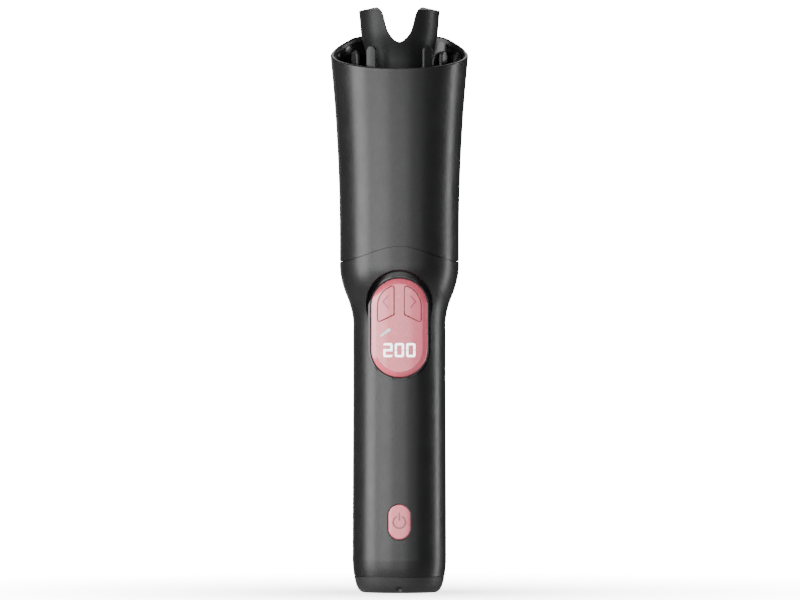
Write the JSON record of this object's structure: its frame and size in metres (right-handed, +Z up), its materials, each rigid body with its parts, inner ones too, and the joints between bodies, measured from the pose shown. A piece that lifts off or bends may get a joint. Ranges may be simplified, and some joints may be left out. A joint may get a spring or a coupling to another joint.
{
  "type": "automatic hair curler",
  "caption": "Cordless hair curler: slim grip with a key panel, and an open trumpet-shaped curl chamber holding a heated barrel with a turning notched fork.",
  "frame": {"origin": "centre of the end cap's flat base", "axes": "+Z up the handle to the fork, -Y out of the control panel, +X to the viewer's right when facing the panel"},
  "size_m": [0.0662, 0.066, 0.2805],
  "materials": {
    "black_shell": "satin black moulded ABS",
    "cap_black": "fine matt black plastic",
    "rose_plastic": "glossy rose pink lacquered plastic",
    "bezel_black": "polished black plastic",
    "smoked_guard": "glossy heat-proof black plastic",
    "liner_black": "matt heat-proof black plastic",
    "fork_black": "satin heat-proof black plastic",
    "barrel_coating": "ceramic-coated aluminium",
    "digit_white": "lit white light guide",
    "lens_cyan": "pale cyan light guide",
    "steel": "zinc-plated steel",
    "nickel": "nickel plate",
    "aluminium": "extruded aluminium",
    "board_green": "green solder mask on glass-epoxy",
    "chip_black": "moulded epoxy packages",
    "switch_grey": "switch housing plastic",
    "cell_wrap": "blue heat-shrink sleeve",
    "holder_black": "moulded polycarbonate",
    "ivory_gear": "natural acetal",
    "brass": "turned brass",
    "magnet_grey": "sintered ferrite",
    "high_heat": "glass-filled high-temperature plastic",
    "ceramic_white": "white PTC ceramic",
    "red_wire": "silicone wire sleeve",
    "white_wire": "silicone wire sleeve",
    "sensor_glass": "glass bead on a lead"
  },
  "bodies": {
    "housing": {"handle_shell": "black_shell", "end_cap": "cap_black", "end_cap_screws": "steel", "usb_port": "nickel", "charge_board": "board_green", "battery_cell_left": "cell_wrap", "battery_cell_right": "cell_wrap", "battery_holder": "holder_black", "battery_tabs": "nickel", "main_board": "board_green", "main_board_chips": "chip_black", "power_switch": "switch_grey", "control_panel": "rose_plastic", "panel_bezel": "bezel_black", "display_board": "board_green", "display_module": "chip_black", "display_digits": "digit_white", "indicator_lens": "lens_cyan", "key_switches": "switch_grey", "motor_can": "steel", "motor_end_bell": "holder_black", "motor_magnets": "magnet_grey", "motor_plate": "aluminium", "motor_screws": "steel", "ring_gear": "ivory_gear", "gearbox_cover": "ivory_gear", "gearbox_screws": "steel", "hall_sensor": "chip_black", "bulkhead": "high_heat", "head_screws": "steel", "head_shell": "black_shell", "head_liner": "liner_black", "comb_ring": "smoked_guard", "barrel_collar": "high_heat", "barrel": "barrel_coating", "barrel_top_bush": "high_heat", "heat_spreaders": "aluminium", "heater_plates": "ceramic_white", "thermistor": "sensor_glass", "thermal_fuse": "white_wire", "heater_leads": "red_wire", "sensor_leads": "white_wire", "power_leads": "red_wire"},
    "rotor": {"carrier_high": "ivory_gear", "home_magnet": "magnet_grey", "drive_shaft": "steel", "fork_head": "fork_black", "fork_screw": "steel"},
    "stage_carrier": {"carrier_low": "ivory_gear"},
    "motor_rotor": {"motor_armature": "steel", "motor_pinion": "brass"},
    "power_button": {"power_button": "rose_plastic"},
    "left_key": {"left_key": "rose_plastic"},
    "right_key": {"right_key": "rose_plastic"},
    "planet_low_1": {"planet_low_1": "ivory_gear"},
    "planet_low_2": {"planet_low_2": "ivory_gear"},
    "planet_low_3": {"planet_low_3": "ivory_gear"},
    "planet_high_1": {"planet_high_1": "ivory_gear"},
    "planet_high_2": {"planet_high_2": "ivory_gear"},
    "planet_high_3": {"planet_high_3": "ivory_gear"}
  },
  "joints": [
    {"name": "fork_spin", "type": "hinge", "parent": "housing", "child": "rotor", "pos_m": [0, 0, 0.2], "axis": [0, 0, 1], "continuous": true},
    {"name": "stage_spin", "type": "hinge", "parent": "housing", "child": "stage_carrier", "pos_m": [0, 0, 0.1363], "axis": [0, 0, 1], "continuous": true},
    {"name": "motor_spin", "type": "hinge", "parent": "housing", "child": "motor_rotor", "pos_m": [0, 0, 0.115], "axis": [0, 0, 1], "continuous": true},
    {"name": "planet_low_1_spin", "type": "hinge", "parent": "stage_carrier", "child": "planet_low_1", "pos_m": [0.0075, 0, 0.1328], "axis": [0, 0, 1], "continuous": true},
    {"name": "planet_low_2_spin", "type": "hinge", "parent": "stage_carrier", "child": "planet_low_2", "pos_m": [-0.00375, 0.0065, 0.1328], "axis": [0, 0, 1], "continuous": true},
    {"name": "planet_low_3_spin", "type": "hinge", "parent": "stage_carrier", "child": "planet_low_3", "pos_m": [-0.00375, -0.0065, 0.1328], "axis": [0, 0, 1], "continuous": true},
    {"name": "planet_high_1_spin", "type": "hinge", "parent": "rotor", "child": "planet_high_1", "pos_m": [0.0075, 0, 0.14], "axis": [0, 0, 1], "continuous": true},
    {"name": "planet_high_2_spin", "type": "hinge", "parent": "rotor", "child": "planet_high_2", "pos_m": [-0.00375, 0.0065, 0.14], "axis": [0, 0, 1], "continuous": true},
    {"name": "planet_high_3_spin", "type": "hinge", "parent": "rotor", "child": "planet_high_3", "pos_m": [-0.00375, -0.0065, 0.14], "axis": [0, 0, 1], "continuous": true},
    {"name": "power_press", "type": "slide", "parent": "housing", "child": "power_button", "axis": [0, 1, 0], "range_m": [0, 0.0005], "stiffness_N_per_m": 1200},
    {"name": "left_key_press", "type": "hinge", "parent": "housing", "child": "left_key", "pos_m": [-0.0034, -0.0203, 0.1392], "axis": [0, 0, 1], "range_deg": [-3, 0], "stiffness_Nm_per_rad": 0.12},
    {"name": "right_key_press", "type": "hinge", "parent": "housing", "child": "right_key", "pos_m": [0.0034, -0.0203, 0.1392], "axis": [0, 0, 1], "range_deg": [0, 3], "stiffness_Nm_per_rad": 0.12}
  ],
  "couplings": [
    {"joint": "stage_spin", "follows": "fork_spin", "ratio": 4},
    {"joint": "motor_spin", "follows": "fork_spin", "ratio": 16},
    {"joint": "planet_low_1_spin", "follows": "fork_spin", "ratio": -12},
    {"joint": "planet_low_2_spin", "follows": "fork_spin", "ratio": -12},
    {"joint": "planet_low_3_spin", "follows": "fork_spin", "ratio": -12},
    {"joint": "planet_high_1_spin", "follows": "fork_spin", "ratio": -3},
    {"joint": "planet_high_2_spin", "follows": "fork_spin", "ratio": -3},
    {"joint": "planet_high_3_spin", "follows": "fork_spin", "ratio": -3}
  ]
}
